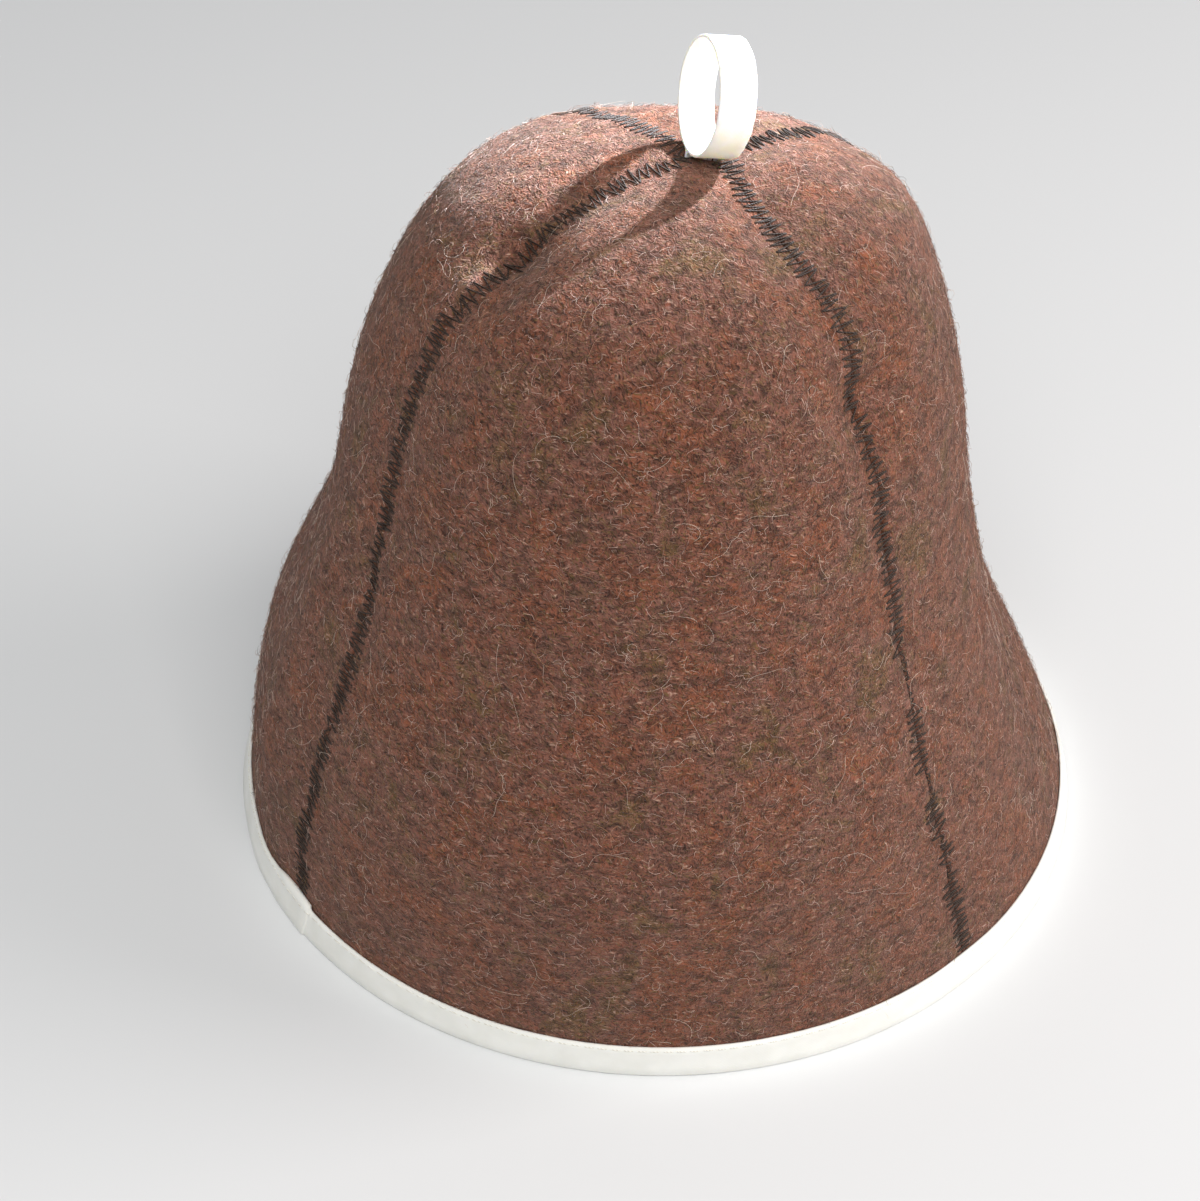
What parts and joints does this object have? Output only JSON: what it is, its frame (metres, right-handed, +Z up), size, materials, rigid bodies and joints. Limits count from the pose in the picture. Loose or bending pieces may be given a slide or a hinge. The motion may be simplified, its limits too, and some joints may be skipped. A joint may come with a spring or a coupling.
{
  "type": "felt sauna hat",
  "caption": "Bell-shaped felt sauna hat sewn from gores, with a tape-bound flared hem and a tape loop at the crown to hang it by.",
  "frame": {"origin": "on the floor, at the middle of the round hem", "axes": "+Z up from the hem to the crown, -Y out of the front gore, +X to the viewer's right when the front is seen"},
  "size_m": [0.2772, 0.2771, 0.2658],
  "materials": {
    "felt": "heathered brown wool felt with loose fibres",
    "binding_tape": "white cotton tape, folded and topstitched",
    "loop_tape": "white cotton tape, soft and slightly see-through",
    "seam_thread": "dark brown zigzag sewing thread"
  },
  "bodies": {
    "root": {"panel_front": "felt", "panel_right": "felt", "panel_back": "felt", "panel_left": "felt", "hem_binding": "binding_tape", "hanging_loop": "loop_tape"}
  },
  "joints": []
}
